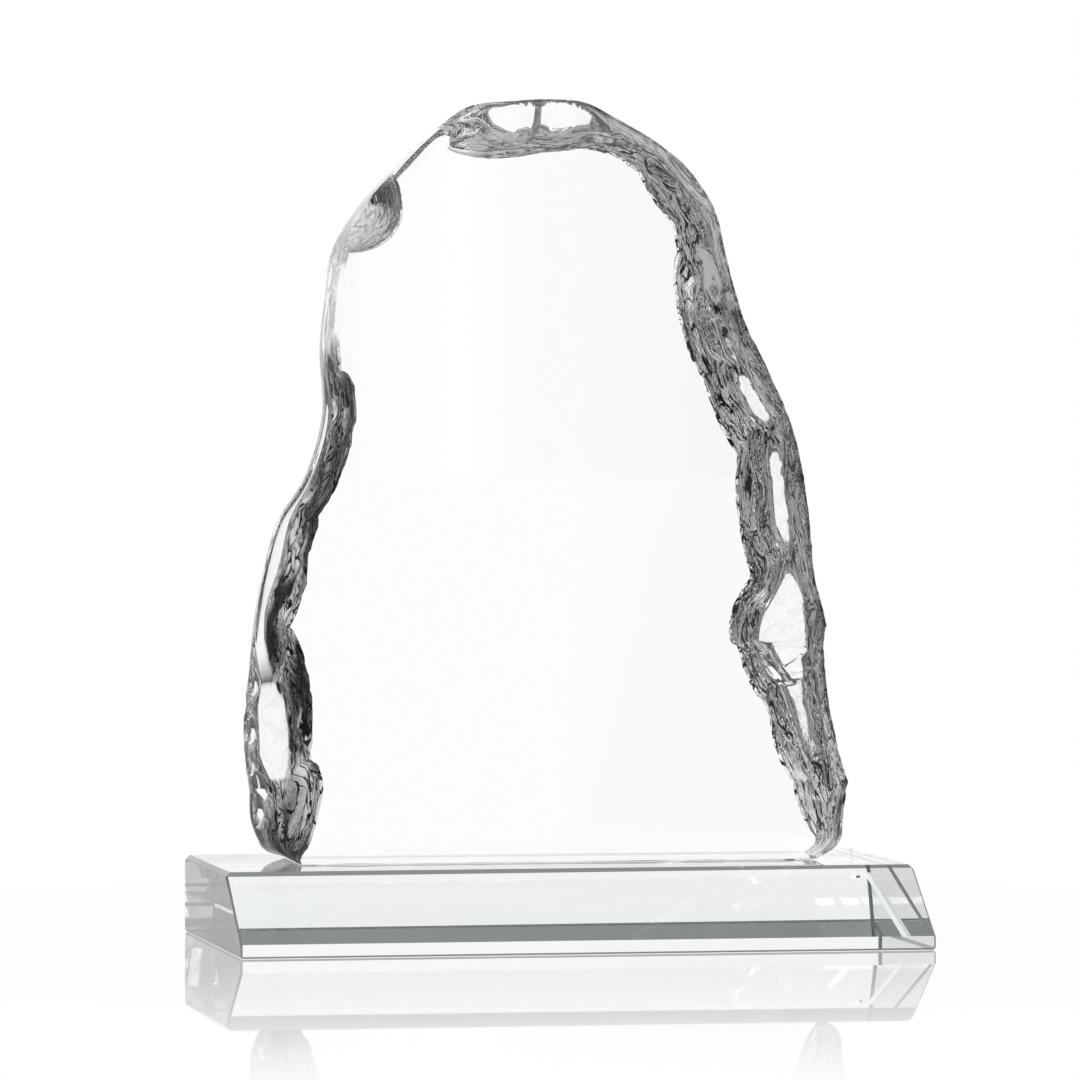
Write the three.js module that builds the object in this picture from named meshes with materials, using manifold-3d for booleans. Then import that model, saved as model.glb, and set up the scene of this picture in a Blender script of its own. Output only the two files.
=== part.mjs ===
// Iceberg award: a slab of clear crystal with a fractured rim, bonded upright on a crystal base block.
// Millimetres, +Z up. The front faces -Y, and the origin is the middle of the base's underside.

import * as THREE from 'three';
import { mergeVertices } from 'three/addons/utils/BufferGeometryUtils.js';
import Module from 'manifold-3d';

// Base block: a flat top at the back, a long slope in front and a low upright lip under the slope
const BASE_LENGTH = 178;
const BASE_DEPTH = 100;
const BASE_HEIGHT = 20;
const BASE_LIP_HEIGHT = 3.5;
const BASE_TOP_DEPTH = 73;
const BASE_END_CHAMFER = 1.2;
const BASE_BACK_CHAMFER = 2;

// Clear film of cured adhesive between the slab's foot and the base's top
const FILM_THICKNESS = 0.25;
const FILM_INSET = 3;

// Slab: polished flat front and back, standing behind the front edge of the base's top
const SLAB_HEIGHT = 196;
const SLAB_WIDTH = 155.5;
const SLAB_THICKNESS = 36;
const SLAB_SETBACK = 21;

// The slab's rims as drawn, from the left foot over the top to the right foot, above the foot:
// front x, front height, back x, back height
const RIM_STATIONS = [
  [-66.5, 0, -65.5, 0],
  [-67.5, 4, -72, 2],
  [-65.5, 10, -76, 8],
  [-66, 22, -77, 19],
  [-66, 34.5, -78, 35],
  [-67.5, 47, -77, 46],
  [-70, 64, -74.5, 63],
  [-66, 75.5, -72.5, 74],
  [-64, 88, -68.5, 87],
  [-59, 99, -61, 99],
  [-55, 115, -56.5, 114.5],
  [-57, 131.5, -57, 131.5],
  [-56, 144.5, -55.5, 144.5],
  [-53.5, 157, -53.5, 157],
  [-48.5, 168, -46.5, 168],
  [-40.5, 179, -36, 179],
  [-30, 189, -25.5, 187.5],
  [-22.5, 194, -19.5, 184],
  [-10, 195.5, -11, 183.5],
  [-1, 196, -1, 184],
  [8, 195, 8, 184.5],
  [18, 190, 16.5, 183.5],
  [27.5, 184.5, 23.5, 180.5],
  [36, 177, 29.5, 175.5],
  [42, 167.5, 35, 167],
  [45, 155.5, 39.5, 156],
  [49.5, 140, 39.5, 141.5],
  [56, 126.5, 44.5, 126.5],
  [63, 110, 52, 109.5],
  [66.5, 92, 55.5, 91.5],
  [68.5, 73, 56.5, 72],
  [72, 58.5, 52.5, 57],
  [73, 46, 57.5, 45.5],
  [75, 34, 63, 33],
  [77.5, 22, 67, 21],
  [77, 12, 71.5, 11],
  [74, 3.5, 73.5, 3],
  [68.5, 0, 70, 0],
];
const RIM_SAMPLES_PER_STATION = 4;

// Places through the slab, from the front rim at 0 to the back rim at 1, where the rim's surface is drawn
const RIM_PLACES = [0, 0.03, 0.15, 0.22, 0.3, 0.37, 0.45, 0.53, 0.65, 0.78, 0.86, 0.93, 0.97, 1];

// The rim goes from its front outline to its back outline partly in a shelf:
// station, place where the shelf starts and its share of the way
const SHELVES = [
  [0, 0.3, 0.05],
  [2.2, 0.3, 0.05],
  [3, 0.3, 0.6],
  [4.5, 0.3, 0.55],
  [5.3, 0.4, 0.05],
  [17.3, 0.15, 0.05],
  [18, 0.15, 0.45],
  [19.2, 0.15, 0.5],
  [19.5, 0.2, 0.2],
  [20, 0.25, 0.5],
  [20.6, 0.25, 0.4],
  [21.2, 0.35, 0.05],
  [24.7, 0.4, 0.05],
  [25, 0.4, 0.45],
  [25.6, 0.4, 0.45],
  [25.95, 0.4, 0.05],
  [26.15, 0.4, 0.35],
  [26.8, 0.4, 0.35],
  [27.05, 0.4, 0.1],
  [27.2, 0.4, 0.45],
  [27.7, 0.4, 0.45],
  [28, 0.4, 0.05],
  [28.4, 0.35, 0.4],
  [29.3, 0.35, 0.45],
  [29.7, 0.4, 0.1],
  [30.5, 0.36, 0.6],
  [31.1, 0.34, 0.75],
  [31.3, 0.38, 0.3],
  [32, 0.38, 0.45],
  [33.4, 0.38, 0.42],
  [34.2, 0.4, 0.05],
  [37, 0.4, 0],
];
const SHELF_WIDTH = 0.15;

// Rounding of the rim's edges: station, radius at the front, radius at the back
const EDGE_ROUNDS = [
  [0, 0, 0],
  [1.5, 0.6, 7],
  [4, 0.6, 8],
  [11.4, 0.6, 8],
  [14, 0.6, 5],
  [17.1, 0.6, 0.6],
  [26, 1.2, 0.6],
  [35, 1.2, 0.6],
  [37, 0, 0],
];

// Conchoidal chips struck out of the rim, in runs between two stations. A chip's place through the slab
// is 0 at the front rim and 1 at the back rim. Sizes are half lengths along and across the rim, and depth.
const SHALLOW_CHIP_DEPTH = 1.4;
const DEEP_CHIP_DEPTH = 1.9;
const PATCH_DEPTH = 7.5;
const CHIP_RUNS = [
  { first: 1.6, last: 9.4, place: 0.04, count: 6, along: 13, across: 8, depth: DEEP_CHIP_DEPTH },
  { first: 13.9, last: 13.9, place: 0, count: 1, along: 11, across: 20, depth: PATCH_DEPTH },
  { first: 18.4, last: 22.2, place: 0.7, count: 4, along: 13, across: 9, depth: SHALLOW_CHIP_DEPTH },
  { first: 23, last: 35, place: 0.2, count: 7, along: 17, across: 7, depth: SHALLOW_CHIP_DEPTH },
  { first: 23.4, last: 34.8, place: 0.95, count: 9, along: 13, across: 9, depth: DEEP_CHIP_DEPTH },
  { first: 5.4, last: 10.4, place: 0.38, count: 7, along: 7, across: 6, depth: SHALLOW_CHIP_DEPTH },
  { first: 21.6, last: 35, place: 0.72, count: 13, along: 7, across: 6, depth: SHALLOW_CHIP_DEPTH },
];
const CHIP_SIZE_SPREAD = 0.45;
const CHIP_PLACE_SPREAD = 0.1;
const CHIP_ROUNDNESS = 3;
const CHIP_SEGMENTS_ROUND = 20;
const CHIP_SEGMENTS_HIGH = 10;

// The golden share and a shift spread the chips' sizes; the reach is the share of a station for a tangent
const GOLDEN_SHARE = (Math.sqrt(5) - 1) / 2;
const STRAND_SHIFT = 0.37;
const TANGENT_REACH = 0.2;

// Places that follow from the sizes
const TOP_FRONT_Y = BASE_DEPTH / 2 - BASE_TOP_DEPTH;
const SLAB_FRONT_Y = TOP_FRONT_Y + SLAB_SETBACK;
const SLAB_FOOT_Z = BASE_HEIGHT + FILM_THICKNESS;

const wasm = await Module();
wasm.setup();

function toSolid(geometry) {
  geometry.deleteAttribute('normal');
  geometry.deleteAttribute('uv');
  const merged = mergeVertices(geometry);
  const vertProperties = new Float32Array(merged.attributes.position.array);
  const triVerts = new Uint32Array(merged.index.array);
  return new wasm.Manifold(new wasm.Mesh({ numProp: 3, vertProperties, triVerts }));
}

function toGeometry(solid) {
  const mesh = solid.getMesh();
  const geometry = new THREE.BufferGeometry();
  geometry.setAttribute('position', new THREE.BufferAttribute(mesh.vertProperties, 3));
  geometry.setIndex(new THREE.BufferAttribute(mesh.triVerts, 1));
  geometry.computeVertexNormals();
  return geometry;
}

function crystal(name, color) {
  const looks = { roughness: 0.02, metalness: 0, transparent: true, opacity: 0.4 };
  return new THREE.MeshStandardMaterial({ name, color, ...looks });
}

// Base block: its end view drawn along X, cut to its front view with chamfered ends drawn along Y
function baseGeometry() {
  const endView = new THREE.Shape([
    new THREE.Vector2(-BASE_DEPTH / 2, 0),
    new THREE.Vector2(BASE_DEPTH / 2, 0),
    new THREE.Vector2(BASE_DEPTH / 2, BASE_HEIGHT - BASE_BACK_CHAMFER),
    new THREE.Vector2(BASE_DEPTH / 2 - BASE_BACK_CHAMFER, BASE_HEIGHT),
    new THREE.Vector2(TOP_FRONT_Y, BASE_HEIGHT),
    new THREE.Vector2(-BASE_DEPTH / 2, BASE_LIP_HEIGHT),
  ]);
  const bar = new THREE.ExtrudeGeometry(endView, { depth: BASE_LENGTH, bevelEnabled: false });
  bar.translate(0, 0, -BASE_LENGTH / 2);
  bar.rotateX(Math.PI / 2).rotateZ(Math.PI / 2);

  const half = BASE_LENGTH / 2;
  const frontView = new THREE.Shape([
    new THREE.Vector2(-half, 0),
    new THREE.Vector2(half, 0),
    new THREE.Vector2(half, BASE_HEIGHT - BASE_END_CHAMFER),
    new THREE.Vector2(half - BASE_END_CHAMFER, BASE_HEIGHT),
    new THREE.Vector2(BASE_END_CHAMFER - half, BASE_HEIGHT),
    new THREE.Vector2(-half, BASE_HEIGHT - BASE_END_CHAMFER),
  ]);
  const wall = new THREE.ExtrudeGeometry(frontView, { depth: BASE_DEPTH, bevelEnabled: false });
  wall.translate(0, 0, -BASE_DEPTH / 2).rotateX(Math.PI / 2);
  return toGeometry(toSolid(bar).intersect(toSolid(wall)));
}

// Smooth curves through the stations, along the front rim and along the back rim, at the slab's size
const drawnX = RIM_STATIONS.flatMap(([front, , back]) => [front, back]);
const drawnHeights = RIM_STATIONS.flatMap(([, front, , back]) => [front, back]);
const widthScale = SLAB_WIDTH / (Math.max(...drawnX) - Math.min(...drawnX));
const heightScale = SLAB_HEIGHT / Math.max(...drawnHeights);

function rimCurve(column) {
  const points = RIM_STATIONS.map((row) => (
    new THREE.Vector3(row[column] * widthScale, 0, row[column + 1] * heightScale)
  ));
  return new THREE.CatmullRomCurve3(points, false, 'centripetal');
}
const frontRim = rimCurve(0);
const backRim = rimCurve(2);
const LAST_STATION = RIM_STATIONS.length - 1;

// Value of a table's column at a station, which may lie between two rows
function valueAt(rows, station, column) {
  const last = rows.length - 1;
  const next = station < rows[last][0] ? rows.findIndex((row) => row[0] > station) : last;
  const before = rows[next - 1];
  const after = rows[next];
  return THREE.MathUtils.mapLinear(station, before[0], after[0], before[column], after[column]);
}

// Point of the rim with sharp edges and no chips, at a station and a place through the slab
function rimPoint(station, place) {
  const stop = THREE.MathUtils.clamp(station, 0, LAST_STATION);
  const start = valueAt(SHELVES, stop, 1);
  const step = THREE.MathUtils.smoothstep(place, start, start + SHELF_WIDTH);
  const inset = THREE.MathUtils.lerp(place, step, valueAt(SHELVES, stop, 2));
  const along = stop / LAST_STATION;
  const point = frontRim.getPoint(along).lerp(backRim.getPoint(along), inset);
  point.y = SLAB_FRONT_Y + place * SLAB_THICKNESS;
  point.z = SLAB_FOOT_Z + Math.max(point.z, 0);
  return point;
}

// How far an edge of that radius falls back at a depth measured from it
function edgeFall(depth, radius) {
  const left = THREE.MathUtils.clamp(radius - depth, 0, radius);
  return radius - Math.sqrt(radius * radius - left * left);
}

// Point of the rim with its edges rounded, which moves it inwards, square to the rim's run
function roundedPoint(station, place) {
  const point = rimPoint(station, place);
  const ahead = rimPoint(station + TANGENT_REACH, place);
  const run = ahead.sub(rimPoint(station - TANGENT_REACH, place)).normalize();
  const depth = place * SLAB_THICKNESS;
  const front = edgeFall(depth, valueAt(EDGE_ROUNDS, station, 1));
  const back = edgeFall(SLAB_THICKNESS - depth, valueAt(EDGE_ROUNDS, station, 2));
  point.x += run.z * (front + back);
  point.z = Math.max(point.z - run.x * (front + back), SLAB_FOOT_Z);
  return point;
}

// Blank of the slab: a loft from the front rim to the back rim, closed by two flat faces and a flat foot
function blankGeometry() {
  const samples = LAST_STATION * RIM_SAMPLES_PER_STATION + 1;
  const positions = [];
  for (const place of RIM_PLACES) {
    for (let sample = 0; sample < samples; sample += 1) {
      const point = roundedPoint(sample / RIM_SAMPLES_PER_STATION, place);
      positions.push(point.x, point.y, point.z);
    }
  }
  const lastLayer = RIM_PLACES.length - 1;
  const index = [];
  for (let layer = 0; layer < lastLayer; layer += 1) {
    for (let sample = 0; sample < samples; sample += 1) {
      const next = (sample + 1) % samples;
      const front = layer * samples;
      const back = front + samples;
      index.push(front + sample, front + next, back + next);
      index.push(front + sample, back + next, back + sample);
    }
  }
  index.push(...flatFace(positions, 0, samples, 1));
  index.push(...flatFace(positions, lastLayer * samples, samples, -1));
  const geometry = new THREE.BufferGeometry();
  geometry.setAttribute('position', new THREE.Float32BufferAttribute(positions, 3));
  geometry.setIndex(index);
  return geometry;
}

// Triangles of one polished face. The facing is 1 for the front, which looks along -Y, and -1 for the back.
function flatFace(positions, start, count, facing) {
  const outline = [];
  for (let sample = start; sample < start + count; sample += 1) {
    outline.push(new THREE.Vector2(positions[sample * 3], positions[sample * 3 + 2]));
  }
  const triangles = THREE.ShapeUtils.triangulateShape(outline, []);
  return triangles.flatMap(([a, b, c]) => {
    const turn = THREE.ShapeUtils.area([outline[a], outline[b], outline[c]]) * facing;
    return turn > 0 ? [start + a, start + b, start + c] : [start + a, start + c, start + b];
  });
}

// Steady spread of values from -1 to 1, for sizes and places that should look unplanned
function spread(number, strand) {
  const value = (number + 1) * (strand + 1) * GOLDEN_SHARE + strand * STRAND_SHIFT;
  return 2 * (value - Math.floor(value)) - 1;
}

// One chip: an ellipsoid sunk into the rim, turned to the rim's run and to its slope through the slab
function chipGeometry(station, place, along, across, depth) {
  const centre = rimPoint(station, place);
  const ahead = rimPoint(station + TANGENT_REACH, place);
  const run = ahead.sub(rimPoint(station - TANGENT_REACH, place)).normalize();
  const through = rimPoint(station, 1).sub(rimPoint(station, 0)).normalize();
  const outward = run.clone().cross(through).normalize();
  through.crossVectors(outward, run);

  const radius = depth * CHIP_ROUNDNESS;
  const height = radius - depth;
  const widening = 1 / Math.sqrt(1 - (height / radius) ** 2);
  const geometry = new THREE.SphereGeometry(1, CHIP_SEGMENTS_ROUND, CHIP_SEGMENTS_HIGH);
  geometry.scale(along * widening, across * widening, radius);
  const turn = new THREE.Matrix4().makeBasis(run, through, outward);
  turn.setPosition(centre.addScaledVector(outward, height));
  return geometry.applyMatrix4(turn);
}

function slabGeometry() {
  let slab = toSolid(blankGeometry());
  CHIP_RUNS.forEach((chips, strand) => {
    for (let number = 0; number < chips.count; number += 1) {
      const share = chips.count > 1 ? number / (chips.count - 1) : 0;
      const station = THREE.MathUtils.lerp(chips.first, chips.last, share);
      const size = 1 + CHIP_SIZE_SPREAD * spread(number, strand);
      const shift = chips.count > 1 ? CHIP_PLACE_SPREAD * spread(number, strand + 1) : 0;
      const along = chips.along * size;
      const chip = chipGeometry(station, chips.place + shift, along, chips.across, chips.depth * size);
      slab = slab.subtract(toSolid(chip));
    }
  });
  return toGeometry(slab);
}

// Bond film: under the foot, drawn in from its edges
function filmGeometry() {
  const left = Math.max(rimPoint(0, 0).x, rimPoint(0, 1).x) + FILM_INSET;
  const right = Math.min(rimPoint(LAST_STATION, 0).x, rimPoint(LAST_STATION, 1).x) - FILM_INSET;
  const film = new THREE.BoxGeometry(right - left, SLAB_THICKNESS - 2 * FILM_INSET, FILM_THICKNESS);
  film.translate((left + right) / 2, SLAB_FRONT_Y + SLAB_THICKNESS / 2, BASE_HEIGHT + FILM_THICKNESS / 2);
  return film;
}

function piece(name, geometry, material) {
  const mesh = new THREE.Mesh(geometry, material);
  mesh.name = name;
  return mesh;
}

const award = new THREE.Group();
award.name = 'iceberg_award';
award.add(piece('base_block', baseGeometry(), crystal('base_crystal', 0xe6efec)));
award.add(piece('bond_film', filmGeometry(), crystal('cured_adhesive', 0xf4f6f2)));
award.add(piece('iceberg_slab', slabGeometry(), crystal('slab_crystal', 0xe9f0ef)));

export default award;
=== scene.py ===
"""Looks of the iceberg award: the fractured crystal slab, its bond film, the base block and the stage."""

import math

import bpy
import numpy as np
from mathutils import Euler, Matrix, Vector, noise


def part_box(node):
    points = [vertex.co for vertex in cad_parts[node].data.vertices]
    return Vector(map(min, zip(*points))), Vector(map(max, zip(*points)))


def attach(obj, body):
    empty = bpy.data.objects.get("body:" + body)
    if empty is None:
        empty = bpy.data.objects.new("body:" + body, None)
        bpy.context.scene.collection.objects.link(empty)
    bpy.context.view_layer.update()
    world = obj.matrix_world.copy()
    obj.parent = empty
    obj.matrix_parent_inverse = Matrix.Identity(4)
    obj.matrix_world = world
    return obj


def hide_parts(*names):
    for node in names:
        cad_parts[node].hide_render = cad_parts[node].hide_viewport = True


bl_info = {
    "name": "Iceberg Award",
    "version": (1, 0, 0),
    "blender": (4, 5, 0),
    "location": "View3D > Sidebar > Award",
    "description": "Models a crystal iceberg award around its packed solids and sets it on a pale stage",
    "category": "Object",
}

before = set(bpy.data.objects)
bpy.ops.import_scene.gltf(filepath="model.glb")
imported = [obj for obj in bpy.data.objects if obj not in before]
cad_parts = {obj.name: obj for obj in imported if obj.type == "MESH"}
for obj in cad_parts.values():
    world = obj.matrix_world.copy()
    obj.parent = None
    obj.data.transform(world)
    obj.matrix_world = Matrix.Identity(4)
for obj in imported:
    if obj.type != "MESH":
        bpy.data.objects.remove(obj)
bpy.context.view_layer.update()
SLAB_LOW, SLAB_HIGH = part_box("iceberg_slab")
FILM_LOW, FILM_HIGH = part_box("bond_film")
BASE_LOW, BASE_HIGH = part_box("base_block")
ROOM_GREY = (0.29, 0.31, 0.305, 1)
ROOM_PALE = (0.8, 0.82, 0.815, 1)
ROOM_FLOOR = (0.46, 0.48, 0.475, 1)
ROOM_DARK = (0.06, 0.063, 0.063, 1)
ROOM_BLACK = (0.01, 0.01, 0.011, 1)
VIEW_WAY = (math.sin(math.radians(10.376)), math.cos(math.radians(10.376)))
MM = 0.001

# The slab's rims, from the left foot over the top to the right foot, in millimetres above the foot:
# front x, front height, back x, back height
RIM_STATIONS = np.array([
    (-66.5, 0, -65.5, 0),
    (-67.5, 4, -72, 2),
    (-65.5, 10, -76, 8),
    (-66, 22, -77, 19),
    (-66, 34.5, -78, 35),
    (-67.5, 47, -77, 46),
    (-70, 64, -74.5, 63),
    (-66, 75.5, -72.5, 74),
    (-64, 88, -68.5, 87),
    (-59, 99, -61, 99),
    (-55, 115, -56.5, 114.5),
    (-57, 131.5, -57, 131.5),
    (-56, 144.5, -55.5, 144.5),
    (-53.5, 157, -53.5, 157),
    (-48.5, 168, -46.5, 168),
    (-40.5, 179, -36, 179),
    (-30, 189, -25.5, 187.5),
    (-22.5, 194, -19.5, 184),
    (-10, 195.5, -11, 183.5),
    (-1, 196, -1, 184),
    (8, 195, 8, 184.5),
    (18, 190, 16.5, 183.5),
    (27.5, 184.5, 23.5, 180.5),
    (36, 177, 29.5, 175.5),
    (42, 167.5, 35, 167),
    (45, 155.5, 39.5, 156),
    (49.5, 140, 39.5, 141.5),
    (56, 126.5, 44.5, 126.5),
    (63, 110, 52, 109.5),
    (66.5, 92, 55.5, 91.5),
    (68.5, 73, 56.5, 72),
    (72, 58.5, 52.5, 57),
    (73, 46, 57.5, 45.5),
    (75, 34, 63, 33),
    (77.5, 22, 67, 21),
    (77, 12, 71.5, 11),
    (74, 3.5, 73.5, 3),
    (68.5, 0, 70, 0),
], float)
LAST_STATION = len(RIM_STATIONS) - 1

# Runs of conchoidal chips: first and last station, place through the slab from front 0 to back 1,
# count, half length along and across the rim, and depth, in millimetres
CHIP_RUNS = (
    (1.6, 9.4, 0.04, 6, 13, 8, 1.9),
    (13.9, 13.9, 0, 1, 11, 20, 7.5),
    (18.4, 22.2, 0.7, 4, 13, 9, 1.4),
    (23, 35, 0.2, 7, 17, 7, 1.4),
    (23.4, 34.8, 0.95, 9, 13, 9, 1.9),
    (5.4, 10.4, 0.38, 7, 7, 6, 1.4),
    (21.6, 35, 0.72, 13, 7, 6, 1.4),
    (2.4, 4.9, 0.74, 6, 5, 5, 2),
)
PATCH_RUN = 1
PATCH_CLEARNESS = 0.45
CHIP_SIZE_SPREAD = 0.45
CHIP_PLACE_SPREAD = 0.1
CHIP_ROUNDNESS = 3.0
GOLDEN_SHARE = (math.sqrt(5) - 1) / 2
STRAND_SHIFT = 0.37
TANGENT_REACH = 0.2

# The rim goes from its front outline to its back outline partly in a shelf, which broke clean where
# it is wide: station, place where the shelf starts, its share of the way and its width
SHELVES = np.array([
    (0, 0.3, 0.05, 0.15),
    (2.8, 0.3, 0.05, 0.15),
    (3.4, 0.33, 0.5, 0.15),
    (4.5, 0.33, 0.5, 0.15),
    (5, 0.45, 0.2, 0.1),
    (5.6, 0.66, 0.3, 0.07),
    (7.5, 0.66, 0.42, 0.07),
    (10.4, 0.62, 0.6, 0.07),
    (11.6, 0.5, 0.05, 0.15),
    (17.2, 0.15, 0.05, 0.15),
    (17.5, 0.15, 0.45, 0.1),
    (18.1, 0.14, 0.75, 0.08),
    (18.55, 0.15, 0.7, 0.08),
    (18.8, 0.18, 0.45, 0.1),
    (19.05, 0.16, 0.7, 0.08),
    (19.6, 0.16, 0.72, 0.08),
    (20.2, 0.2, 0.55, 0.1),
    (20.7, 0.27, 0.3, 0.12),
    (21.2, 0.35, 0.05, 0.15),
    (24.7, 0.4, 0.05, 0.15),
    (25, 0.4, 0.45, 0.15),
    (25.6, 0.4, 0.45, 0.15),
    (25.95, 0.4, 0.05, 0.15),
    (26.15, 0.4, 0.35, 0.15),
    (26.8, 0.4, 0.35, 0.15),
    (27.05, 0.4, 0.1, 0.15),
    (27.2, 0.4, 0.45, 0.15),
    (27.7, 0.4, 0.45, 0.15),
    (28, 0.4, 0.05, 0.15),
    (28.4, 0.35, 0.4, 0.15),
    (29.3, 0.35, 0.45, 0.15),
    (29.7, 0.4, 0.1, 0.15),
    (30.5, 0.36, 0.6, 0.15),
    (31.1, 0.34, 0.75, 0.15),
    (31.55, 0.46, 0.3, 0.15),
    (32, 0.5, 0.27, 0.15),
    (33.4, 0.5, 0.25, 0.15),
    (34.2, 0.4, 0.05, 0.15),
    (37, 0.4, 0, 0.15),
])
SHELF_WAVE = 0.015
FOOT_ROUND = 0.8
CLEAR_FROM = 0.15
CLEAR_TO = 0.28

# How far the rim's front and back edges are rounded, in millimetres, and how rough the fracture is
# at the front, the middle and the back: station, front radius, back radius, three shares and the share
# of painted shade that dims the fracture
RIM_ZONES = np.array([
    (0, 0, 0, 0.8, 0.8, 0.5, 1),
    (1.5, 0.6, 7, 1, 1, 0.5, 1),
    (2.2, 0.6, 7, 1.2, 1, 0, 0.9),
    (4, 0.6, 8, 1.4, 1, 0, 0.75),
    (5.5, 0.6, 8, 1.5, 1.4, 0, 0.8),
    (9.5, 0.6, 8, 1.5, 1.4, 0, 0.75),
    (10.8, 0.6, 8, 1, 0.6, 0, 0.4),
    (11.4, 0.6, 8, 0, 0, 0, 0.2),
    (14, 0.6, 5, 0, 0, 0, 0.4),
    (17.1, 0.6, 0.6, 0, 0, 0, 0),
    (17.7, 0.8, 0.6, 0.2, 0.6, 0.9, 0),
    (22, 1, 0.6, 0.5, 0.8, 1, 0),
    (26, 1.2, 0.6, 0.7, 1, 1, 0),
    (35, 1.2, 0.6, 0.9, 1, 1, 0.05),
    (37, 0, 0, 0.3, 0.4, 0.5, 0.2),
])


class AwardSlabSettings(bpy.types.PropertyGroup):
    """Sizes and tints of the fractured slab"""

    ring_points: bpy.props.IntProperty(
        name="Ring Points", description="Points round the slab's edge", default=1240, min=200, max=1500)
    layers: bpy.props.IntProperty(
        name="Layers", description="Steps from the front face to the back face", default=70, min=8, max=80)
    relief: bpy.props.FloatProperty(
        name="Relief", description="Height of the fracture's ripples", default=0.0007,
        subtype="DISTANCE", unit="LENGTH")
    tint: bpy.props.FloatVectorProperty(
        name="Tint", description="Colour of the slab's crystal", default=(0.998, 1.0, 0.999),
        subtype="COLOR", min=0, max=1)


class AwardBaseSettings(bpy.types.PropertyGroup):
    """Sizes and tint of the base block"""

    lip_height: bpy.props.FloatProperty(
        name="Lip Height", description="Upright strip under the slope", default=0.0035,
        subtype="DISTANCE", unit="LENGTH")
    top_depth: bpy.props.FloatProperty(
        name="Top Depth", description="Flat top, from the back to the slope", default=0.073,
        subtype="DISTANCE", unit="LENGTH")
    end_chamfer: bpy.props.FloatProperty(
        name="End Chamfer", description="Chamfer along the top of each end", default=0.0012,
        subtype="DISTANCE", unit="LENGTH")
    back_chamfer: bpy.props.FloatProperty(
        name="Back Chamfer", description="Chamfer along the top of the back", default=0.002,
        subtype="DISTANCE", unit="LENGTH")
    edge_break: bpy.props.FloatProperty(
        name="Edge Break", description="Width of the ground edges", default=0.0005,
        subtype="DISTANCE", unit="LENGTH")
    tint: bpy.props.FloatVectorProperty(
        name="Tint", description="Colour of the base's crystal", default=(0.992, 0.995, 0.995),
        subtype="COLOR", min=0, max=1)


class AwardStageSettings(bpy.types.PropertyGroup):
    """Camera settings of the stage"""

    lens: bpy.props.FloatProperty(
        name="Lens", description="Focal length on a 36 mm sensor, in millimetres", default=288.33)
    camera_place: bpy.props.FloatVectorProperty(
        name="Camera Place", description="Where the camera stands", default=(-0.40379, -2.18405, 0.16185),
        subtype="TRANSLATION", unit="LENGTH")
    camera_turn: bpy.props.FloatProperty(
        name="Camera Turn", description="Turn to the right from looking straight back",
        default=math.radians(10.376), subtype="ANGLE", unit="ROTATION")
    camera_tilt: bpy.props.FloatProperty(
        name="Camera Tilt", description="Tilt down from level", default=math.radians(1.519),
        subtype="ANGLE", unit="ROTATION")


class Wire:
    """A shader socket whose arithmetic adds Math nodes"""

    def __init__(self, graph, socket):
        self.graph = graph
        self.socket = socket

    def maths(self, operation, *values):
        made = self.graph.add("ShaderNodeMath", {"operation": operation}, dict(enumerate(values)))
        return made[0]

    def __add__(self, other):
        return self.maths("ADD", self, other)

    def __radd__(self, other):
        return self.maths("ADD", other, self)

    def __sub__(self, other):
        return self.maths("SUBTRACT", self, other)

    def __rsub__(self, other):
        return self.maths("SUBTRACT", other, self)

    def __mul__(self, other):
        return self.maths("MULTIPLY", self, other)

    def __rmul__(self, other):
        return self.maths("MULTIPLY", other, self)

    def __truediv__(self, other):
        return self.maths("DIVIDE", self, other)

    def clamp(self):
        made = self.graph.add("ShaderNodeClamp", {}, {"Value": self})
        return made[0]

    def smooth(self, low, high):
        """0 below low, 1 above high and a smooth step between"""
        made = self.graph.add(
            "ShaderNodeMapRange", {"interpolation_type": "SMOOTHSTEP"},
            {"Value": self, "From Min": low, "From Max": high})
        return made[0]

    def root(self):
        return self.maths("SQRT", self)

    def sine(self):
        return self.maths("SINE", self)

    def above(self, level):
        return self.maths("GREATER_THAN", self, level)

    def largest(self, other):
        return self.maths("MAXIMUM", self, other)


class Made:
    """A node that was added, whose outputs are found by name or number"""

    def __init__(self, graph, node):
        self.graph = graph
        self.node = node

    def __getitem__(self, key):
        return Wire(self.graph, self.node.outputs[key])


class Graph:
    """A node tree that is filled from the code"""

    def __init__(self, tree):
        self.tree = tree
        tree.nodes.clear()

    def add(self, kind, settings, inputs):
        """Adds a node, sets it up, then fills its sockets with values or links"""
        node = self.tree.nodes.new(kind)
        for key, value in settings.items():
            setattr(node, key, value)
        for key, value in inputs.items():
            socket = node.inputs[key]
            if isinstance(value, Wire):
                self.tree.links.new(value.socket, socket)
            else:
                socket.default_value = value
        return Made(self, node)

    def streaks(self, flow, steps, detail):
        """Noise drawn out along the fracture's flow, with so many steps to a millimetre each way"""
        drawn = self.add("ShaderNodeVectorMath", {"operation": "MULTIPLY"}, {0: flow, 1: steps})[0]
        return self.add(
            "ShaderNodeTexNoise", {}, {"Vector": drawn, "Scale": 1.0, "Detail": detail, "Distortion": 0.8})[0]

    def nearness(self, value, low, high):
        """0 where a noise is near its middle value and 1 away from it, by the square of the difference"""
        off = value - 0.5
        return (off * off).smooth(low, high)

    def colour_mix(self, factor, first, second):
        made = self.add("ShaderNodeMix", {"data_type": "RGBA"}, {0: factor, 6: first, 7: second})
        return made[2]


def rgba(colour):
    return (*colour, 1.0)


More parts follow.
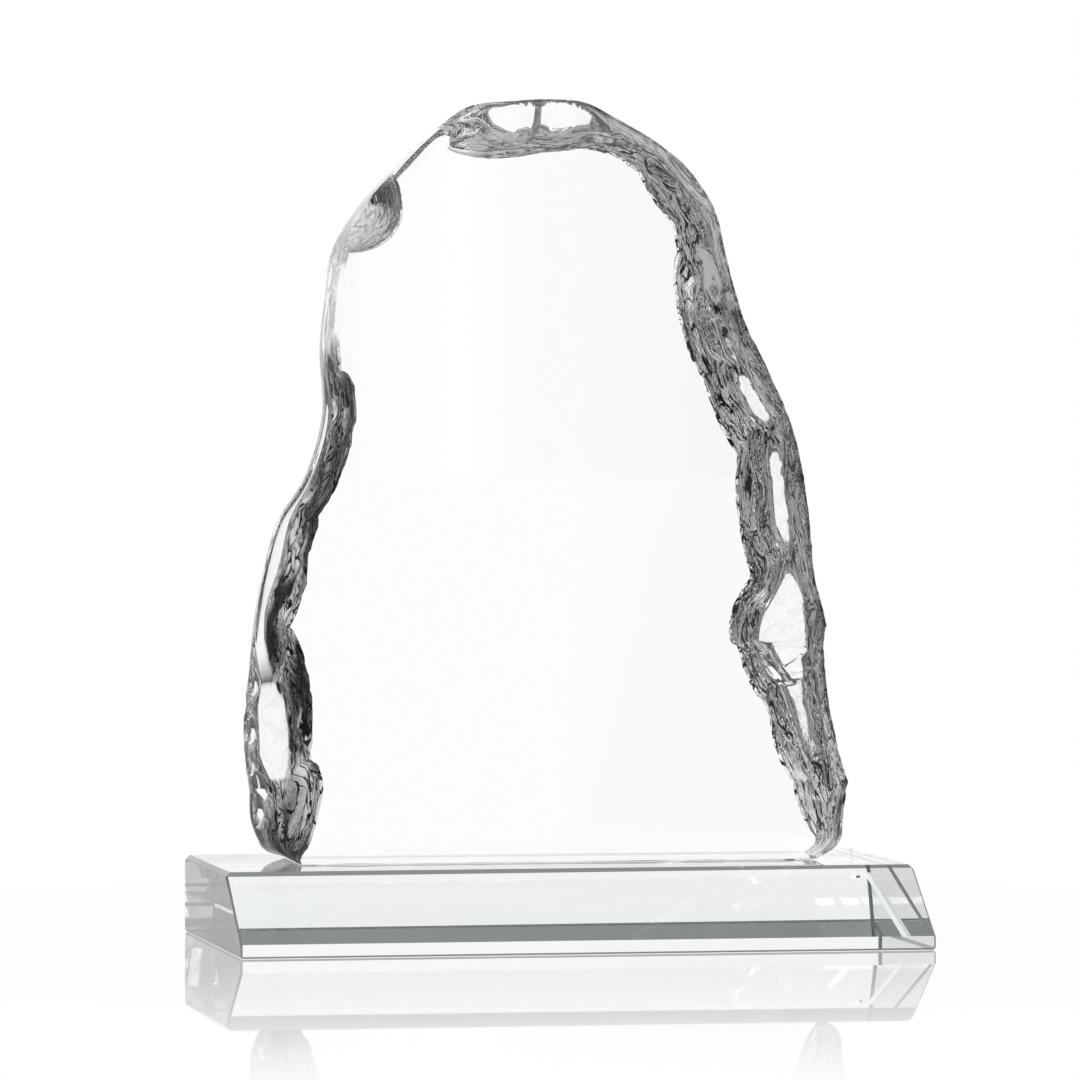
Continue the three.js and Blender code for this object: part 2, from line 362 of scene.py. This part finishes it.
def crystal_material(name, tint, density, fracture):
    """Clear crystal: polished all over, with a painted shade greying the base's end faces, or rippled where
    the fracture attribute says and darkened there by a painted shade in dark streaks and an even dimming
    """
    material = bpy.data.materials.new(name)
    material.use_nodes = True
    graph = Graph(material.node_tree)
    place = graph.add("ShaderNodeTexCoord", {}, {})["Object"]
    cloud = graph.add("ShaderNodeTexNoise", {}, {"Vector": place, "Scale": 24.0, "Detail": 2.0})[0]
    paler = tuple(min(1.0, c + 0.003) for c in tint)
    base = graph.colour_mix(cloud, rgba(tint), rgba(paler))
    smear = graph.add("ShaderNodeTexNoise", {}, {"Vector": place, "Scale": 60.0, "Detail": 3.0})[0]
    inputs = {"Base Color": base, "IOR": 1.52, "Transmission Weight": 1.0}
    soak = graph.add(
        "ShaderNodeVolumeAbsorption", {}, {"Color": (0.86, 0.91, 0.9, 1.0), "Density": density})[0]
    if not fracture:
        inputs["Roughness"] = smear * 0.008
        shader = graph.add("ShaderNodeBsdfPrincipled", {}, inputs)[0]
        # Painted shade: a dark dull shader mixed into the base's end faces greys them
        along = graph.add("ShaderNodeSeparateXYZ", {}, {0: place})[0]
        end = (along * along).smooth((BASE_HIGH.x - 2e-4) ** 2, (BASE_HIGH.x - 1e-4) ** 2)
        painted_end_shade = graph.add(
            "ShaderNodeBsdfPrincipled", {}, {"Base Color": (0.1, 0.11, 0.11, 1), "Roughness": 0.6})[0]
        surface = graph.add("ShaderNodeMixShader", {}, {0: end * 0.24, 1: shader, 2: painted_end_shade})[0]
        graph.add("ShaderNodeOutputMaterial", {}, {"Surface": surface, "Volume": soak})
        return material
    broken = graph.add("ShaderNodeAttribute", {"attribute_name": "fracture"}, {})["Fac"]
    flow = graph.add("ShaderNodeAttribute", {"attribute_name": "flow"}, {})["Vector"]
    painted_dim = graph.add("ShaderNodeSeparateXYZ", {}, {0: flow})[2]
    broad = graph.streaks(flow, (0.11, 0.34, 0), 3.0)
    fine = graph.streaks(flow, (0.42, 1.2, 0), 4.0)
    areas = graph.streaks(flow, (0.035, 0.08, 0), 1.0).smooth(0.4, 0.6)
    # Thin dark streaks along the fracture's flow, which the painted shade fills
    shade_streaks = 1 - graph.nearness(broad, 0.0003, 0.0016)
    shade_streaks = shade_streaks.largest((1 - graph.nearness(fine, 0.0003, 0.002)) * areas * 0.95)
    inputs["Roughness"] = broken * smear * 0.02
    inputs["Normal"] = graph.add(
        "ShaderNodeBump", {}, {"Strength": broken * 0.6, "Distance": 0.0011, "Height": broad + fine * 0.5})[0]
    shader = graph.add("ShaderNodeBsdfPrincipled", {}, inputs)[0]
    # Painted shade: a near-black shader mixed over the broken rim in the streaks and in an even dimming,
    # standing in for the dark seen through the rough rim
    crack_shade = graph.add(
        "ShaderNodeBsdfPrincipled", {},
        {"Base Color": (0.006, 0.006, 0.007, 1), "Roughness": 0.5, "Specular IOR Level": 0.05})[0]
    share = broken * (1 - (1 - painted_dim * (0.4 + areas * 0.8)) * (1 - shade_streaks))
    surface = graph.add("ShaderNodeMixShader", {}, {0: share.clamp(), 1: shader, 2: crack_shade})[0]
    graph.add("ShaderNodeOutputMaterial", {}, {"Surface": surface, "Volume": soak})
    return material


def ground_edge_shade_material(name):
    """Crystal that was ground and not polished, as on broken edges, in a dark tone that is painted shade for
    the dark lines along them
    """
    material = bpy.data.materials.new(name)
    material.use_nodes = True
    graph = Graph(material.node_tree)
    place = graph.add("ShaderNodeTexCoord", {}, {})["Object"]
    grain = graph.add("ShaderNodeTexNoise", {}, {"Vector": place, "Scale": 1500.0, "Detail": 2.0})[0]
    # Painted shade: the dark tone stands in for the dark lines seen along the ground edges; the grain and
    # roughness are the ground finish
    tone = graph.colour_mix(grain, (0.1, 0.11, 0.11, 1), (0.2, 0.215, 0.21, 1))
    inputs = {"Base Color": tone, "Roughness": 0.3 + grain * 0.2, "IOR": 1.52, "Transmission Weight": 0.5}
    shader = graph.add("ShaderNodeBsdfPrincipled", {}, inputs)[0]
    graph.add("ShaderNodeOutputMaterial", {}, {"Surface": shader})
    return material


def finish_piece(piece, name, node, material):
    """Names a finished piece, gives it its material and lets it stand for its CAD node"""
    piece.name = name
    piece.data.name = name
    if not piece.data.materials:
        piece.data.materials.append(None)
    piece.data.materials[0] = material
    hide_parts(node)
    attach(piece, "root")


def start_piece():
    """Leaves nothing selected before a new primitive is added"""
    if bpy.context.object and bpy.context.object.mode != "OBJECT":
        bpy.ops.object.mode_set(mode="OBJECT")
    bpy.ops.object.select_all(action="DESELECT")


def choose(piece, kind, test):
    """Selects in edit mode just the vertices, edges or faces that pass the test"""
    bpy.ops.object.mode_set(mode="EDIT")
    bpy.ops.mesh.select_mode(type=kind)
    bpy.ops.mesh.select_all(action="DESELECT")
    bpy.ops.object.mode_set(mode="OBJECT")
    found = {"VERT": piece.data.vertices, "EDGE": piece.data.edges, "FACE": piece.data.polygons}[kind]
    for element in found:
        element.select = bool(test(element))
    bpy.ops.object.mode_set(mode="EDIT")


def spread(number, strand):
    """Steady spread of values from -1 to 1, for sizes and places that should look unplanned"""
    value = (number + 1) * (strand + 1) * GOLDEN_SHARE + strand * STRAND_SHIFT
    return 2 * (value - math.floor(value)) - 1


def smooth_curve(points, stations):
    """Centripetal Catmull-Rom curve through the points, at stations counted in points"""
    ends = np.vstack([2 * points[0] - points[1], points, 2 * points[-1] - points[-2]])
    first = np.clip(stations.astype(int), 0, len(points) - 2)
    share = (stations - first)[:, None]
    a, b, c, d = (ends[first + step] for step in range(4))
    before, here, after = (
        np.sqrt(np.linalg.norm(q - p, axis=1))[:, None] for p, q in ((a, b), (b, c), (c, d)))
    leave = ((b - a) / before - (c - a) / (before + here) + (c - b) / here) * here
    enter = ((c - b) / here - (d - b) / (here + after) + (d - c) / after) * here
    square = share * share
    cube = square * share
    return (b * (2 * cube - 3 * square + 1) + leave * (cube - 2 * square + share)
            + c * (3 * square - 2 * cube) + enter * (cube - square))


def ease(values, low, high):
    """0 below low, 1 above high and a smooth step between"""
    share = np.clip((values - low) / (high - low), 0, 1)
    return share * share * (3 - 2 * share)


def shelf_form(stations):
    """Start, share and width of the shelf at the stations, with a wavy start"""
    start, share, width = (np.interp(stations, SHELVES[:, 0], SHELVES[:, column]) for column in (1, 2, 3))
    return start + SHELF_WAVE * np.sin(3.1 * stations), share, width


def shelf(stations, place):
    """How far the rim has come from its front outline to its back outline"""
    start, share, width = shelf_form(stations)
    return (1 - share) * place + share * ease(place, start, start + width)


def rounding(through, radius):
    """How far an edge of that radius falls back at a depth measured from it"""
    left = np.clip(radius - through, 0, radius)
    return radius - np.sqrt(radius * radius - left * left)


def rim_points(stations):
    """Front and back rim at the stations, in millimetres from the foot"""
    front = smooth_curve(RIM_STATIONS[:, :2], stations)
    back = smooth_curve(RIM_STATIONS[:, 2:], stations)
    for rim in (front, back):
        rim[:, 1] = np.maximum(rim[:, 1], 0)
    return front, back


def rim_point(station, place, thickness):
    front, back = rim_points(np.array([min(max(station, 0), LAST_STATION)], float))
    inset = float(shelf(np.array(station), np.array(place)))
    x, z = front[0] * (1 - inset) + back[0] * inset
    return np.array([x, place * thickness, z])


def chip_axes(station, place, thickness):
    """Centre of a chip on the rim, with the rim's run, its way through the slab and the way out"""
    centre = rim_point(station, place, thickness)
    run = rim_point(station + TANGENT_REACH, place, thickness)
    run = run - rim_point(station - TANGENT_REACH, place, thickness)
    run /= np.linalg.norm(run)
    through = rim_point(station, 1, thickness) - rim_point(station, 0, thickness)
    outward = np.cross(run, through)
    outward /= np.linalg.norm(outward)
    return centre, run, np.cross(outward, run), outward


def chip_bite(points, inward, station, place, along, across, depth, thickness):
    """How deep one ellipsoid chip cuts each point, measured along its inward way"""
    centre, run, through, outward = chip_axes(station, place, thickness)
    radius = depth * CHIP_ROUNDNESS
    height = radius - depth
    widening = 1 / math.sqrt(1 - (height / radius) ** 2)
    axes = np.array([run / (along * widening), through / (across * widening), outward / radius])
    offset = (points - (centre + outward * height)) @ axes.T
    way = inward @ axes.T
    inside = (offset * offset).sum(-1) < 1
    slope = (offset * way).sum(-1)
    length = (way * way).sum(-1)
    root = np.sqrt(np.maximum(slope * slope - length * ((offset * offset).sum(-1) - 1), 0))
    return np.where(inside, (root - slope) / length, 0)


def chip_list():
    """Run, station, place, half lengths and depth of every chip"""
    chips = []
    for strand, (first, last, place, count, along, across, depth) in enumerate(CHIP_RUNS):
        for number in range(count):
            share = number / (count - 1) if count > 1 else 0
            size = 1 + CHIP_SIZE_SPREAD * spread(number, strand)
            shift = CHIP_PLACE_SPREAD * spread(number, strand + 1) if count > 1 else 0
            station = first + (last - first) * share
            chips.append((strand, station, place + shift, along * size, across, depth * size))
    return chips


class AWARD_OT_model_slab(bpy.types.Operator):
    """Models the slab: a prism whose rings follow the rims, with the chips and ripples of its fracture"""

    bl_idname = "award.model_slab"
    bl_label = "Iceberg Slab"

    def execute(self, context):
        settings = context.scene.award_slab
        ring = settings.ring_points
        layers = settings.layers
        start_piece()
        bpy.ops.mesh.primitive_cylinder_add(vertices=ring, radius=1, depth=1, end_fill_type="NGON")
        slab = context.object
        height = [vertex.co.z for vertex in slab.data.vertices]
        choose(slab, "EDGE", lambda edge: height[edge.vertices[0]] * height[edge.vertices[1]] < 0)
        bpy.ops.mesh.subdivide(number_cuts=layers - 1)
        bpy.ops.object.mode_set(mode="OBJECT")
        places, broken, flow = self.fracture(ring, layers, settings.relief / MM)
        flat = np.zeros(len(slab.data.vertices) * 3, np.float32)
        slab.data.vertices.foreach_get("co", flat)
        flat = flat.reshape(-1, 3)
        turn = np.rint(np.arctan2(flat[:, 1], flat[:, 0]) / (2 * math.pi) * ring).astype(int) % ring
        layer = np.rint((flat[:, 2] + 0.5) * layers).astype(int)
        slab.data.vertices.foreach_set("co", places[turn, layer].astype(np.float32).ravel())
        broken = broken[turn, layer]
        mark = slab.data.attributes.new("fracture", "FLOAT", "FACE")
        shares = [broken[face.vertices[0]] if len(face.vertices) == 4 else 0 for face in slab.data.polygons]
        mark.data.foreach_set("value", np.array(shares, np.float32))
        run = slab.data.attributes.new("flow", "FLOAT_VECTOR", "POINT")
        run.data.foreach_set("vector", flow[turn, layer].astype(np.float32).ravel())
        slab.data.update()
        bpy.ops.object.shade_smooth_by_angle(angle=math.radians(40))
        choose(slab, "FACE", lambda face: len(face.vertices) > 4)
        bpy.ops.mesh.faces_shade_flat()
        bpy.ops.object.mode_set(mode="OBJECT")
        material = crystal_material("slab_crystal", settings.tint, 0.3, True)
        finish_piece(slab, "fractured_slab", "iceberg_slab", material)
        return {"FINISHED"}

    def fracture(self, ring, layers, relief):
        """Places of the ring's points layer by layer, in metres, how broken the surface is there, and
        how far each lies along the rim and through it, in millimetres, with the share of painted shade that
        dims it"""
        thickness = (SLAB_HIGH.y - SLAB_LOW.y) / MM
        fine = np.linspace(0, LAST_STATION, 4000)
        front, back = rim_points(fine)
        middle = (front + back) / 2
        length = np.concatenate([[0], np.cumsum(np.linalg.norm(np.diff(middle, axis=0), axis=1))])
        foot = np.linalg.norm(middle[-1] - middle[0])
        rim_count = int(round(ring * length[-1] / (length[-1] + foot)))
        stations = np.interp(np.linspace(0, length[-1], rim_count), length, fine)
        front, back = rim_points(stations)
        share = np.linspace(0, 1, ring - rim_count + 2)[1:-1, None]
        front = np.vstack([front, front[-1] * (1 - share) + front[0] * share])
        back = np.vstack([back, back[-1] * (1 - share) + back[0] * share])
        place = np.linspace(0, 1, layers + 1)
        through = place * thickness
        ringed = np.concatenate([stations, np.full(ring - rim_count, LAST_STATION)])[:, None]
        inset = shelf(ringed, place)[..., None]
        flat = front[:, None] * (1 - inset) + back[:, None] * inset
        points = np.stack([flat[..., 0], np.broadcast_to(through, flat.shape[:2]), flat[..., 1]], -1)
        run = np.roll(flat, -1, 0) - np.roll(flat, 1, 0)
        run /= np.linalg.norm(run, axis=-1, keepdims=True)
        inward = np.stack([run[..., 1], np.zeros(run.shape[:2]), -run[..., 0]], -1)
        step = np.linalg.norm(np.diff(points[:, layers // 2], axis=0), axis=1)
        travel = np.concatenate([[0], np.cumsum(step)])

        bite = np.zeros(points.shape[:2])
        patch = np.zeros(points.shape[:2])
        for strand, *chip in chip_list():
            depth = chip_bite(points, inward, *chip, thickness)
            bite = np.maximum(bite, depth)
            if strand == PATCH_RUN:
                patch = np.maximum(patch, depth)

        zones = [np.interp(ringed, RIM_ZONES[:, 0], RIM_ZONES[:, column]) for column in range(1, 7)]
        front_round, back_round, front_rough, middle_rough, back_rough, painted_dimming = zones
        bite += rounding(through, front_round) + rounding(thickness - through, back_round)
        near = 1 - ease(place, 0.2, 0.5)
        far = ease(place, 0.52, 0.66)
        rough = front_rough * near + middle_rough * (1 - near - far) + back_rough * far
        start, share, width = shelf_form(ringed)
        ledge = ease(place, start - 0.04, start + 0.02)
        ledge = ledge - ease(place, start + width - 0.02, start + width + 0.04)
        rough = rough * (1 - 0.92 * ease(share, CLEAR_FROM, CLEAR_TO) * ledge)
        rough = np.maximum(rough, np.clip(patch, 0, 1) * 1.1)
        bite += relief * rough * self.ripples(travel, through, rough)
        rough[rim_count:] = 0
        foot_x = points[rim_count:, 0, 0]
        wave = np.array([noise.noise(Vector((x / 12, 0.3, 2.2))) for x in foot_x])[:, None]
        bite[rim_count:] = rounding(through, FOOT_ROUND * (1 + 0.6 * wave))
        points += inward * bite[..., None]
        points[..., 2] = np.clip(points[..., 2], 0, (SLAB_HIGH.z - SLAB_LOW.z) / MM)
        points *= MM
        points[..., 1] += SLAB_LOW.y
        points[..., 2] += SLAB_LOW.z
        # The flow's third value is the share of painted shade that dims the fracture
        flow = np.broadcast_arrays(travel[:, None], through, painted_dimming)
        broken = np.clip(rough, 0, 1) * (1 - PATCH_CLEARNESS * np.clip(patch, 0, 1))
        return points, broken, np.stack(flow, -1)

    def ripples(self, travel, through, rough):
        """Height of the fracture's ripples, from 0 to about 1, long along the rim and short across it"""
        height = np.zeros(rough.shape)
        for index, layer in np.argwhere(rough > 0):
            along = travel[index]
            across = through[layer]
            swirl = noise.noise_vector(Vector((along / 8, across / 6, 4.1)))
            broad = Vector((along / 8 + 0.6 * swirl.x, across / 4 + 0.6 * swirl.y, 1.7))
            fine = Vector((along / 3.4 + 0.9 * swirl.x, across / 1.7 + 0.9 * swirl.y, 7.3))
            height[index, layer] = 0.6 * noise.turbulence(broad, 2, True)
            height[index, layer] += 0.4 * noise.turbulence(fine, 2, True)
        return height


class AWARD_OT_model_film(bpy.types.Operator):
    """Models the film of cured adhesive: a thin sheet with rounded corners between slab and base"""

    bl_idname = "award.model_film"
    bl_label = "Bond Film"

    def execute(self, context):
        clearance = 0.00002
        corner = 0.003
        size = FILM_HIGH - FILM_LOW
        start_piece()
        bpy.ops.mesh.primitive_cube_add(size=1, location=(FILM_LOW + FILM_HIGH) / 2)
        film = context.object
        film.scale = (size.x, size.y, size.z - 2 * clearance)
        bpy.ops.object.transform_apply(location=True, rotation=True, scale=True)
        points = [vertex.co.copy() for vertex in film.data.vertices]
        choose(film, "EDGE", lambda edge: abs(points[edge.vertices[0]].z - points[edge.vertices[1]].z) > 1e-6)
        bpy.ops.mesh.bevel(offset=corner, offset_type="OFFSET", segments=6)
        bpy.ops.object.mode_set(mode="OBJECT")
        material = crystal_material("cured_adhesive", (0.985, 0.99, 0.985), 0.3, False)
        finish_piece(film, "adhesive_film", "bond_film", material)
        return {"FINISHED"}


class AWARD_OT_model_base(bpy.types.Operator):
    """Models the base block: a block with a sloped front over a lip, chamfered ends and ground edges"""

    bl_idname = "award.model_base"
    bl_label = "Base Block"

    def execute(self, context):
        settings = context.scene.award_base
        size = BASE_HIGH - BASE_LOW
        start_piece()
        bpy.ops.mesh.primitive_cube_add(size=1, location=(BASE_LOW + BASE_HIGH) / 2)
        base = context.object
        base.scale = size
        bpy.ops.object.transform_apply(location=True, rotation=True, scale=True)
        bpy.ops.object.mode_set(mode="EDIT")
        bpy.ops.mesh.select_all(action="SELECT")
        lip = BASE_LOW.z + settings.lip_height
        bpy.ops.mesh.bisect(plane_co=(0, 0, lip), plane_no=(0, 0, 1))
        bpy.ops.object.mode_set(mode="OBJECT")
        near = 1e-6
        choose(base, "VERT", lambda v: v.co.z > BASE_HIGH.z - near and v.co.y < BASE_LOW.y + near)
        bpy.ops.transform.translate(value=(0, size.y - settings.top_depth, 0))
        bpy.ops.object.mode_set(mode="OBJECT")
        points = [vertex.co.copy() for vertex in base.data.vertices]

        def on_level(edge):
            ends = [points[index] for index in edge.vertices]
            level = all(abs(end.z - lip) < near for end in ends)
            return level and any(end.y > BASE_LOW.y + near for end in ends)

        choose(base, "EDGE", on_level)
        bpy.ops.mesh.dissolve_edges()
        bpy.ops.object.mode_set(mode="OBJECT")
        points = [vertex.co.copy() for vertex in base.data.vertices]

        def on_back_top(edge):
            a, b = (points[index] for index in edge.vertices)
            return min(a.z, b.z) > BASE_HIGH.z - near and min(a.y, b.y) > BASE_HIGH.y - near

        choose(base, "EDGE", on_back_top)
        bpy.ops.mesh.bevel(offset=settings.back_chamfer * math.sqrt(2), offset_type="WIDTH", segments=1)
        bpy.ops.object.mode_set(mode="OBJECT")
        points = [vertex.co.copy() for vertex in base.data.vertices]

        def on_end_top(edge):
            a, b = (points[index] for index in edge.vertices)
            return min(a.z, b.z) > BASE_HIGH.z - near and abs(a.x - b.x) < near

        choose(base, "EDGE", on_end_top)
        bpy.ops.mesh.bevel(offset=settings.end_chamfer * math.sqrt(2), offset_type="WIDTH", segments=1)
        bpy.ops.object.mode_set(mode="OBJECT")
        base.data.materials.append(None)
        base.data.materials.append(None)
        # The ground edges take a material whose dark tone is painted shade
        ground = base.modifiers.new("ground_edges_painted_shade", "BEVEL")
        ground.width = settings.edge_break
        ground.segments = 1
        ground.material = 1
        ground.limit_method = "ANGLE"
        ground.angle_limit = math.radians(62)
        bpy.ops.object.modifier_apply(modifier=ground.name)
        material = crystal_material("base_crystal", settings.tint, 5.0, False)
        finish_piece(base, "sloped_base", "base_block", material)
        base.data.materials[1] = ground_edge_shade_material("ground_edges_painted_shade")
        return {"FINISHED"}


def bounced_inside(rays):
    """1 on rays that were mirrored inside the crystal, which show the room and not its white panels"""
    return rays["Glossy Depth"].above(0.5) * rays["Transmission Depth"].above(0.5)


class Round:
    """Shares of a turn round the stage, which place its white panels and the dark bars between them"""

    def __init__(self, graph, x, y):
        across = x * x
        ahead = y * y
        reach = (across + ahead).largest(1e-6)
        self.graph = graph
        self.second = (across - ahead) / reach
        self.fourth = 2 * self.second * self.second - 1
        self.eighth = 2 * self.fourth * self.fourth - 1
        self.right = x / reach.root()
        self.behind = (x * VIEW_WAY[0] + y * VIEW_WAY[1]) / reach.root()
        self.panels = self.eighth.smooth(-0.1, 0.1).largest(self.behind.smooth(0.86, 0.9))

    def darkened(self, tone):
        """A tone of the room that goes dark to the right"""
        return self.graph.colour_mix(self.right.smooth(0.2, 0.7), tone, ROOM_DARK)

    def room(self, low, rails):
        """The room's grey, darker to the right, with dark bars low all round and dark rails"""
        sixteenth = 2 * self.eighth * self.eighth - 1
        bars = low * (2 * sixteenth * sixteenth - 1).smooth(0.7, 0.9)
        tone = self.graph.colour_mix(low * (sixteenth * 0.5 + 0.5), ROOM_GREY, ROOM_PALE)
        tone = self.graph.colour_mix(low * (0 - sixteenth).smooth(0.8, 0.95), tone, (1, 1, 1, 1))
        tone = self.darkened(tone)
        return self.graph.colour_mix(bars.largest(rails), tone, ROOM_BLACK)


class AWARD_OT_set_stage(bpy.types.Operator):
    """Sets the pale floor, the soft light and the camera at the photograph's angle"""

    bl_idname = "award.set_stage"
    bl_label = "Stage"

    def execute(self, context):
        scene = context.scene
        settings = scene.award_stage
        scene.view_settings.view_transform = "Standard"
        scene.cycles.max_bounces = 24
        scene.cycles.glossy_bounces = 14
        scene.cycles.transmission_bounces = 16
        self.floor()
        self.world(scene)
        self.lamps()
        camera = bpy.data.objects.new("camera", bpy.data.cameras.new("camera"))
        scene.collection.objects.link(camera)
        camera.data.sensor_width = 36
        camera.data.lens = settings.lens
        camera.data.clip_end = 20
        camera.location = settings.camera_place
        camera.rotation_euler = Euler((math.pi / 2 - settings.camera_tilt, 0, -settings.camera_turn))
        scene.camera = camera
        return {"FINISHED"}

    def floor(self):
        start_piece()
        bpy.ops.mesh.primitive_plane_add(size=12, location=(0, 0, -0.0001))
        floor = bpy.context.object
        floor.name = "pale_floor"
        material = bpy.data.materials.new("pale_floor")
        material.use_nodes = True
        graph = Graph(material.node_tree)
        rays = graph.add("ShaderNodeLightPath", {}, {})
        shown = rays["Is Camera Ray"].largest(rays["Is Transmission Ray"]).largest(rays["Is Glossy Ray"])
        place = graph.add("ShaderNodeTexCoord", {}, {})["Object"]
        spot = graph.add("ShaderNodeSeparateXYZ", {}, {0: place})
        distance = spot[0] * spot[0] + spot[1] * spot[1]
        turn = Round(graph, spot[0], spot[1])
        shut = distance.smooth(0.12, 0.3).largest(distance.smooth(0.03, 0.08) * turn.right.smooth(0.4, 0.6))
        open_floor = 1 - shut * (1 - turn.panels)
        strip = spot[1].smooth(0.03, 0.04) - spot[1].smooth(0.08, 0.24)
        strip = strip * (1 - (spot[0] * spot[0]).smooth(0.03, 0.05))
        strip = strip.largest((0 - turn.behind).smooth(0.975, 0.985) * distance.smooth(0.3, 0.8))
        side_card = turn.right.smooth(0.42, 0.5) * spot[1].smooth(0.15, 0.25) * distance.smooth(0.1, 0.16)
        strip = strip.largest(side_card)
        inside = bounced_inside(rays)
        pale = rays["Is Camera Ray"].largest(inside * strip + (1 - inside) * open_floor)
        seen = graph.colour_mix(pale, turn.darkened(ROOM_FLOOR), (1, 1, 1, 1))
        mirrored = spot[1].smooth(-0.46, -0.04) * (1 - spot[1].smooth(0.05, 0.4))
        mirrored = rays["Is Camera Ray"] * mirrored * 0.7
        white = graph.add("ShaderNodeEmission", {}, {"Color": seen, "Strength": 1.0})[0]
        matt = graph.add("ShaderNodeBsdfDiffuse", {}, {"Color": (0.9, 0.9, 0.9, 1)})[0]
        mirror = graph.add("ShaderNodeBsdfGlossy", {}, {"Color": (1, 1, 1, 1), "Roughness": 0.015})[0]
        shaded = rays["Is Camera Ray"] * (1 - distance.smooth(0.015, 0.08)) * 0.12
        plain = graph.add("ShaderNodeMixShader", {}, {0: shown * (1 - shaded), 1: matt, 2: white})[0]
        top = graph.add("ShaderNodeMixShader", {}, {0: mirrored, 1: plain, 2: mirror})[0]
        graph.add("ShaderNodeOutputMaterial", {}, {"Surface": top})
        floor.data.materials.append(material)

    def world(self, scene):
        world = bpy.data.worlds.new("studio")
        world.use_nodes = True
        graph = Graph(world.node_tree)
        rays = graph.add("ShaderNodeLightPath", {}, {})
        way = graph.add("ShaderNodeTexCoord", {}, {})["Generated"]
        parts = graph.add("ShaderNodeSeparateXYZ", {}, {0: way})
        turn = Round(graph, parts[0], parts[1])
        backdrop = turn.behind.smooth(0.84, 0.9) * (1 - parts[2].smooth(0.48, 0.56))
        card = (0 - turn.behind).smooth(0.975, 0.985) * (1 - (parts[2] * parts[2]).smooth(0.01, 0.03))
        backdrop = backdrop.largest(card)
        straight = (1 - bounced_inside(rays)) * turn.panels * (1 - parts[2].smooth(0.08, 0.14))
        straight = straight * (1 - turn.right.smooth(0.45, 0.6))
        bright = rays["Is Camera Ray"].largest(backdrop).largest(straight)
        low = 1 - (parts[2] * parts[2]).smooth(0.12, 0.3)
        rails = low * (parts[2] * 26).sine().smooth(0.8, 0.95)
        colour = graph.colour_mix(bright, turn.room(low, rails), (1, 1, 1, 1))
        back = graph.add("ShaderNodeBackground", {}, {"Color": colour, "Strength": 1.0})[0]
        graph.add("ShaderNodeOutputWorld", {}, {"Surface": back})
        scene.world = world

    def lamps(self):
        lamp = bpy.data.objects.new("overhead_softbox", bpy.data.lights.new("overhead_softbox", "AREA"))
        bpy.context.scene.collection.objects.link(lamp)
        lamp.data.size = 0.9
        lamp.data.energy = 16
        lamp.location = (-0.5, -0.9, 1.2)
        lamp.rotation_euler = (-lamp.location).to_track_quat("-Z", "Y").to_euler()


class AWARD_PT_panel(bpy.types.Panel):
    """Lists the award's pieces and their sizes"""

    bl_label = "Iceberg Award"
    bl_idname = "AWARD_PT_panel"
    bl_space_type = "VIEW_3D"
    bl_region_type = "UI"
    bl_category = "Award"

    def draw(self, context):
        for settings, operators in PANEL_ROWS:
            box = self.layout.box()
            group = getattr(context.scene, settings)
            for name in group.bl_rna.properties.keys():
                if name not in ("rna_type", "name"):
                    box.prop(group, name)
            for operator in operators:
                box.operator(operator)


PANEL_ROWS = (
    ("award_base", ("award.model_base", "award.model_film")),
    ("award_slab", ("award.model_slab",)),
    ("award_stage", ("award.set_stage",)),
)
SETTINGS = (
    ("award_slab", AwardSlabSettings),
    ("award_base", AwardBaseSettings),
    ("award_stage", AwardStageSettings),
)
CLASSES = (
    AWARD_OT_model_base,
    AWARD_OT_model_film,
    AWARD_OT_model_slab,
    AWARD_OT_set_stage,
    AWARD_PT_panel,
)


def register():
    for name, group in SETTINGS:
        bpy.utils.register_class(group)
        setattr(bpy.types.Scene, name, bpy.props.PointerProperty(type=group))
    for kind in CLASSES:
        bpy.utils.register_class(kind)


def unregister():
    for kind in reversed(CLASSES):
        bpy.utils.unregister_class(kind)
    for name, group in reversed(SETTINGS):
        delattr(bpy.types.Scene, name)
        bpy.utils.unregister_class(group)


def main():
    register()
    bpy.ops.award.model_base()
    bpy.ops.award.model_film()
    bpy.ops.award.model_slab()
    bpy.ops.award.set_stage()


if __name__ == "__main__":
    main()
